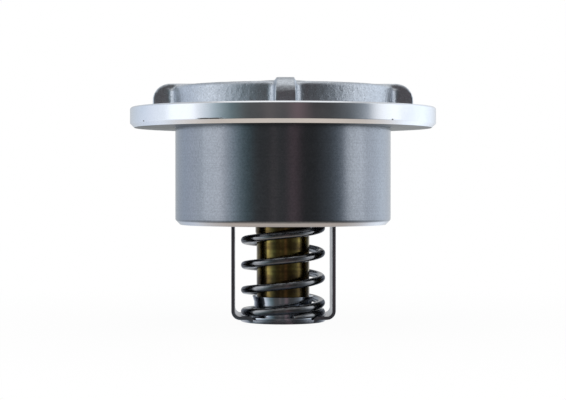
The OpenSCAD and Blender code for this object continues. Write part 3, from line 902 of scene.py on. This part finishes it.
# %% [markdown]
# After the remesh the edges are rounded and the surface gets its unevenness.
# Last, the skin's foot is pushed a little way into the flange, so that no gap
# can show.

# %% Cast skin
VOXEL = 0.35 * MM
SMOOTHINGS = 4
PEEL_DEPTH = 0.06 * MM
PEEL_SIZE = 1.4 * MM
FOOT_SINK = 0.6 * MM


def mould_skin(mesh, smoothings, depth):
    """Rounds every edge a little and sinks the surface here and there by up to this depth."""
    for k in range(smoothings):
        bmesh.ops.smooth_vert(
            mesh, verts=mesh.verts, factor=0.5, use_axis_x=True, use_axis_y=True, use_axis_z=True)
    mesh.normal_update()
    for v in mesh.verts:
        v.co -= v.normal * (0.5 + 0.5 * noise.noise(v.co / PEEL_SIZE)) * depth


skin_mesh = remeshed_copy("cast_spider", "housing_casting", VOXEL, raw_region())
mould_skin(skin_mesh, SMOOTHINGS, PEEL_DEPTH)
for v in skin_mesh.verts:
    if v.co.xy.length > WALL_MIDDLE_R - VOXEL and v.co.z < SKIN_LOW + VOXEL:
        v.co.z -= FOOT_SINK
skin = new_piece("cast_spider", skin_mesh)
settle(skin, "housing", CAST, "housing_casting")
print("cast skin has", len(skin.data.polygons), "faces")

# %% [markdown]
# ## The sleeve
#
# The sleeve is a plain ring of steel, turned outside and bored inside, so its
# outline says all about its shape. Its finish is duller than the flange's: a
# fine feed left it satin, and it reflects less than half of the light. The
# rings that the tool left show as faint level lines, and a fine speckle of oil
# and dust makes the border of each reflection a little uneven. The chamfer at
# its foot was cut last and is brighter. The thin dark line above it is a
# painted reflection of the rounded edge between wall and chamfer.

# %% Turned steel
CUT_BLEND = 0.25
FRESH_CUT = (0.62, 0.63, 0.66, 1)
# The width of the painted dark reflection line above the chamfer.
PAINTED_EDGE_LINE = 0.45


def turned_steel(chamfer_top):
    """Satin above this height, freshly cut on the chamfer below it, with a painted dark reflection line
    just above it.
    """
    finish, tree, place = begin("turned steel", Anisotropic=0.5)
    rings = lathe_place(tree, place, 0.05)
    fine = clouds(tree, rings, 6, 5, 0.7)
    broad = clouds(tree, rings, 0.8, 3)
    cloud = clouds(tree, place, 0.05, 3, 0.5)
    speckle = clouds(tree, place, 1.7, 5, 0.72)
    mottle = clouds(tree, place, 0.5, 4, 0.65)
    height = height_of(tree, place)
    from_painted_edge_line = maths(tree, "ABSOLUTE", maths(tree, "SUBTRACT", height, chamfer_top + PAINTED_EDGE_LINE / 2))
    from_painted_edge_line = maths(tree, "DIVIDE", from_painted_edge_line, PAINTED_EDGE_LINE)
    colour = ramp(tree, cloud, [(0.36, (0.355, 0.383, 0.424)), (0.64, (0.385, 0.413, 0.454))])
    colour = tinted(tree, colour, ramp(tree, fine, [(0.32, 0.88), (0.66, 1.0)]))
    colour = tinted(tree, colour, ramp(tree, speckle, [(0.36, 0.80), (0.60, 1.0)]))
    # A thin dark line above the chamfer: a painted reflection of its rounded edge.
    colour = tinted(tree, colour, ramp(tree, from_painted_edge_line, [(0.3, 0.62), (0.9, 1.0)]))
    colour = mixed(tree, span(tree, height, chamfer_top, chamfer_top - CUT_BLEND), colour, FRESH_CUT)
    bump = relief(tree, speckle, 0.010, relief(tree, broad, 0.006))
    return dressed(finish, colour, spread(tree, mottle, 0.11, 0.19), relief(tree, fine, 0.006, bump))


# %% Sleeve
NEAR_WALL = 0.35 * MM
SLEEVE_EDGE = 0.1 * MM
SLEEVE = outlines_of("slide_sleeve")[0][0]
SLEEVE_R = max(p.x for p in SLEEVE)
CHAMFER_TOP = min(p.y for p in SLEEVE if p.x > SLEEVE_R - NEAR_WALL)
print("sleeve radius", round(SLEEVE_R / MM, 2), "mm, its chamfer ends at", round(CHAMFER_TOP / MM, 2), "mm")
sleeve = turned("turned_sleeve", "slide_sleeve", SLEEVE_EDGE)
settle(sleeve, "slide", turned_steel(CHAMFER_TOP / MM), "slide_sleeve")

# %% [markdown]
# ## The stirrup
#
# The stirrup is one strip of sheet steel. Its base was pressed round and its
# legs bent up. A sheet's cut edges are square with a slight break, so a copy
# of the solid gets clean flat faces first and then a small bevel on every edge.
# The cup and the rivets have the same steel, but they are round and are swept.

# %% Sheet steel
def sheet_steel():
    """Rolled steel with a fine grain, a little lighter and duller in slow clouds."""
    finish, tree, place = begin("sheet steel")
    grain = clouds(tree, place, 5, 3)
    cloud = clouds(tree, place, 0.3, 4, 0.6)
    colour = ramp(tree, cloud, [(0.32, (0.30, 0.315, 0.355)), (0.68, (0.40, 0.415, 0.455))])
    colour = tinted(tree, colour, ramp(tree, grain, [(0.3, 0.88), (0.6, 1.0)]))
    return dressed(finish, colour, spread(tree, cloud, 0.18, 0.28), relief(tree, grain, 0.012))


# %% Sheet pieces
FLAT_ANGLE = math.radians(1.5)
BEVEL_ANGLE = math.radians(32)
STIRRUP_BEVEL = 0.10 * MM
CUP_EDGE = 0.15 * MM
RIVET_EDGE = 0.12 * MM


def worked_copy(name, node, edge):
    """A copy of a node with clean flat faces and a small bevel on every edge."""
    mesh = bmesh.new()
    mesh.from_mesh(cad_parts[node].data)
    bmesh.ops.remove_doubles(mesh, verts=mesh.verts, dist=SAME_POINT)
    bmesh.ops.dissolve_limit(mesh, angle_limit=FLAT_ANGLE, verts=mesh.verts, edges=mesh.edges)
    piece = new_piece(name, mesh)
    bevel = piece.modifiers.new("broken edges", "BEVEL")
    bevel.width = edge
    bevel.segments = 2
    bevel.limit_method = "ANGLE"
    bevel.angle_limit = BEVEL_ANGLE
    # The bevel goes before the weighted normals, so that they count its faces too.
    piece.modifiers.move(1, 0)
    print(name, "has", len(piece.data.polygons), "faces before its bevel")
    return piece


SHEET = sheet_steel()
stirrup = worked_copy("folded_stirrup", "stirrup", STIRRUP_BEVEL)
settle(stirrup, "housing", SHEET, "stirrup")
settle(turned("pressed_cup", "spring_cup", CUP_EDGE), "slide", SHEET, "spring_cup")
for side in ("left", "right"):
    rivet = turned(side + "_formed_rivet", side + "_rivet", RIVET_EDGE)
    settle(rivet, "housing", SHEET, side + "_rivet")

# %% [markdown]
# ## The spring
#
# The spring is the one piece that changes shape, so it is a plain mesh: a ring
# of points is carried along a helix, one ring after another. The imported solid
# does the same with few rings. This one has a round wire and follows the same
# law, or it would stand off its seats: each end closes up, dips at its tip and
# is ground flat there, and in between the wire climbs by one pitch a turn.
#
# Sizes are in millimetres here, places along the wire in turns, and the
# direction of the lower end, SPRING_START, in degrees.

# %% Path of the spring wire
WIRE_R = 1.15
COIL_R = 11.3
PITCH = 7.36
SPRING_START = -76
END_TURNS = 0.845
EASE_TURNS = 0.49
END_LIFT = 0.1
TIP_TURNS = 0.25
TIP_DIP = 1.3
SPRING_LOW, SPRING_HIGH = (corner.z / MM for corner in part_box("return_spring"))
SPRING_RISE = SPRING_HIGH - SPRING_LOW
SPRING_TURNS = (SPRING_RISE - 2 * (WIRE_R + END_LIFT)) / PITCH + 2 * END_TURNS
print("spring of", round(SPRING_TURNS, 2), "turns,", round(SPRING_RISE, 1), "mm high")


def end_rise(t):
    """Height of the wire's centre over its seat, t turns from that end."""
    into = max(0, min(t, END_TURNS + EASE_TURNS / 2) - (END_TURNS - EASE_TURNS / 2))
    past = max(0, t - END_TURNS - EASE_TURNS / 2)
    tip = max(0, 1 - t / TIP_TURNS)
    return WIRE_R + END_LIFT - TIP_DIP * tip ** 2 + PITCH * (into ** 2 / (2 * EASE_TURNS) + past)


def coil_height(t):
    """Height of the wire's centre, t turns from the lower end of the spring."""
    if t < SPRING_TURNS / 2:
        return SPRING_LOW + end_rise(t)
    return SPRING_HIGH - end_rise(SPRING_TURNS - t)


# %% [markdown]
# The ground faces come from clamping: points that would lie beyond a seat are
# set on the seat's plane, as the grinding wheel would leave them. The two ends
# of the wire were sheared off, so they stay flat in the shading.

# %% Wind the spring
WIRE_SIDES = 24
RINGS_PER_TURN = 64


def wire_ring(mesh, t):
    """One ring of points round the wire, t turns from its lower end."""
    a = math.radians(SPRING_START) + 2 * math.pi * t
    ring = []
    for k in range(WIRE_SIDES):
        b = 2 * math.pi * k / WIRE_SIDES
        r = COIL_R + WIRE_R * math.cos(b)
        z = min(max(coil_height(t) + WIRE_R * math.sin(b), SPRING_LOW), SPRING_HIGH)
        ring.append(mesh.verts.new(Vector((r * math.cos(a), r * math.sin(a), z)) * MM))
    return ring


def wound_spring():
    """The spring's mesh, one ring joined to the next, with a face on each end."""
    mesh = bmesh.new()
    count = round(SPRING_TURNS * RINGS_PER_TURN)
    rings = [wire_ring(mesh, SPRING_TURNS * i / count) for i in range(count + 1)]
    for low, high in zip(rings, rings[1:]):
        for k in range(WIRE_SIDES):
            mesh.faces.new((low[k - 1], low[k], high[k], high[k - 1]))
    for end in (rings[0], rings[-1]):
        mesh.faces.new(end)
    spring = smooth_object("wound_spring", mesh)
    for face in spring.data.polygons:
        face.use_smooth = len(face.vertices) <= 4
    return spring


spring = wound_spring()
print("spring has", len(spring.data.polygons), "faces")

# %% [markdown]
# Drawn wire is smooth, with small flecks of scale that the die rolled in. It was
# hardened in oil, which leaves it dark, and it is still a little oily.

# %% Spring steel
def drawn_wire():
    """Dark oily wire with small darker flecks."""
    finish, tree, place = begin("drawn spring wire")
    cloud = clouds(tree, place, 0.5, 4, 0.6)
    fleck = clouds(tree, place, 4, 3, 0.6)
    colour = ramp(tree, cloud, [(0.34, (0.27, 0.275, 0.285)), (0.66, (0.37, 0.375, 0.385))])
    colour = tinted(tree, colour, ramp(tree, fleck, [(0.30, 0.75), (0.50, 1.0)]))
    return dressed(finish, colour, spread(tree, cloud, 0.15, 0.24), relief(tree, fleck, 0.010))


WIRE = drawn_wire()

# %% Spring and snap ring
SNAP_RING_BEVEL = 0.08 * MM
settle(spring, "housing", WIRE, "return_spring")
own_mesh(spring)
snap_ring = worked_copy("open_snap_ring", "web_snap_ring", SNAP_RING_BEVEL)
settle(snap_ring, "slide", WIRE, "web_snap_ring")

# %% [markdown]
# ## Small bright pieces
#
# The guide bush was pressed and polished, because the can slides in it. The
# pin and the plug were ground. All three mirror their surroundings with hardly
# any colour of their own, and only faint rings show that they were turned.

# %% Polished steel
def polished_steel():
    """Bright steel with hardly visible rings."""
    finish, tree, place = begin("polished steel", Anisotropic=0.3)
    rings = lathe_place(tree, place, 0.03)
    fine = clouds(tree, rings, 9, 3)
    cloud = clouds(tree, place, 0.25, 3)
    colour = ramp(tree, cloud, [(0.34, (0.56, 0.60, 0.66)), (0.66, (0.66, 0.70, 0.76))])
    return dressed(finish, colour, spread(tree, cloud, 0.09, 0.16), relief(tree, fine, 0.001))


# %% Bush, pin and plug
BRIGHT = polished_steel()
for name, node, edge in (
    ("flared_bush", "guide_bush", 0.08),
    ("ground_pin", "working_pin", 0.04),
    ("pressed_plug", "calibration_plug", 0.15),
):
    settle(turned(name, node, edge * MM), "housing", BRIGHT, node)

# %% [markdown]
# ## The wax element
#
# The can was drawn from brass sheet and the guide turned from brass bar. Brass
# dulls to olive brown where coolant and fingers touched it, and stays yellow
# where it is rubbed. The dull film is thin, so it shows as clouds in colour and
# in polish, and it runs round the can in loose bands.

# %% Brass
def dull_brass():
    """Yellow brass under a film of olive brown that comes and goes in bands and clouds."""
    finish, tree, place = begin("dull brass", Anisotropic=0.3)
    rings = lathe_place(tree, place, 1.2)
    bands = clouds(tree, rings, 0.30, 3)
    cloud = clouds(tree, place, 0.35, 4, 0.62)
    fine = clouds(tree, lathe_place(tree, place, 0.05), 7, 4)
    film = maths(tree, "MULTIPLY", maths(tree, "ADD", bands, cloud), 0.5)
    colour = ramp(tree, film, [
        (0.38, (0.115, 0.078, 0.040)),
        (0.50, (0.225, 0.160, 0.055)),
        (0.62, (0.42, 0.33, 0.10)),
    ])
    return dressed(finish, colour, spread(tree, film, 0.19, 0.12, 0.4, 0.6), relief(tree, fine, 0.0015))


# %% Can and guide
CAN_EDGE = 0.15 * MM
GUIDE_EDGE = 0.12 * MM
BRASS = dull_brass()
settle(turned("drawn_can", "element_can", CAN_EDGE), "slide", BRASS, "element_can")
settle(turned("turned_guide", "element_guide", GUIDE_EDGE), "slide", BRASS, "element_guide")

# %% [markdown]
# ## Rubber, plastic and wax
#
# What the element holds inside is seen only when it is taken apart, and the
# seat seal only from below. They still get their own surfaces: rubber has the
# fine pits of its mould and a dull bloom, the plastic washer is smooth and
# slightly cloudy, and the wax is soft, warm and lets a little light in.

# %% Soft materials
def moulded_rubber():
    """Black rubber with fine pits and a grey bloom."""
    finish, tree, place = begin("moulded rubber", 0.0)
    pits = clouds(tree, place, 4, 4, 0.65)
    bloom = clouds(tree, place, 0.25, 4)
    colour = ramp(tree, bloom, [(0.35, (0.022, 0.022, 0.023)), (0.68, (0.050, 0.049, 0.047))])
    return dressed(finish, colour, spread(tree, pits, 0.80, 0.58), relief(tree, pits, 0.04))


def hard_plastic():
    """Off-white plastic, smooth and slightly cloudy."""
    finish, tree, place = begin("hard plastic", 0.0)
    cloud = clouds(tree, place, 0.6, 3)
    grain = clouds(tree, place, 6, 2)
    colour = ramp(tree, cloud, [(0.35, (0.80, 0.80, 0.77)), (0.65, (0.87, 0.87, 0.85))])
    return dressed(finish, colour, spread(tree, grain, 0.38, 0.50), relief(tree, grain, 0.01))


def cast_wax():
    """Warm yellow wax with slow flow marks, which lets a little light in."""
    finish, tree, place = begin("cast wax", 0.0, Subsurface_Weight=0.3, Subsurface_Scale=1.5 * MM)
    cloud = clouds(tree, place, 0.3, 4)
    flow = clouds(tree, place, 1.1, 2)
    colour = ramp(tree, cloud, [(0.35, (0.74, 0.64, 0.40)), (0.65, (0.84, 0.76, 0.54))])
    return dressed(finish, colour, spread(tree, flow, 0.42, 0.58), relief(tree, flow, 0.05))


# %% Soft pieces
RUBBER = moulded_rubber()
for name, node, body, slot, finish, edge in (
    ("moulded_seal", "seat_seal", "housing", "seal_rubber", RUBBER, 0.12),
    ("moulded_plunger", "rubber_plunger", "housing", "seal_rubber", RUBBER, 0.20),
    ("moulded_wiper", "pin_wiper", "slide", "seal_rubber", RUBBER, 0.10),
    ("moulded_diaphragm", "diaphragm", "slide", "seal_rubber", RUBBER, 0.12),
    ("punched_washer", "backup_washer", "housing", "white_plastic", hard_plastic(), 0.08),
    ("cast_wax_charge", "wax_charge", "slide", "wax", cast_wax(), 0.30),
):
    settle(turned(name, node, edge * MM), body, finish, node)

# %% [markdown]
# ## The web
#
# The web joins the sleeve to the wax element and is seen through the spider and
# from below. It was cast and then bored, so it has the same skin as the spider,
# made in the same way.

# %% Web
WEB_VOXEL = 0.30 * MM
WEB_SMOOTHINGS = 2
WEB_PEEL_DEPTH = 0.03 * MM
web_mesh = remeshed_copy("cast_web", "slide_web", WEB_VOXEL)
mould_skin(web_mesh, WEB_SMOOTHINGS, WEB_PEEL_DEPTH)
web = new_piece("cast_web", web_mesh)
settle(web, "slide", CAST, "slide_web")
print("cast web has", len(web.data.polygons), "faces")
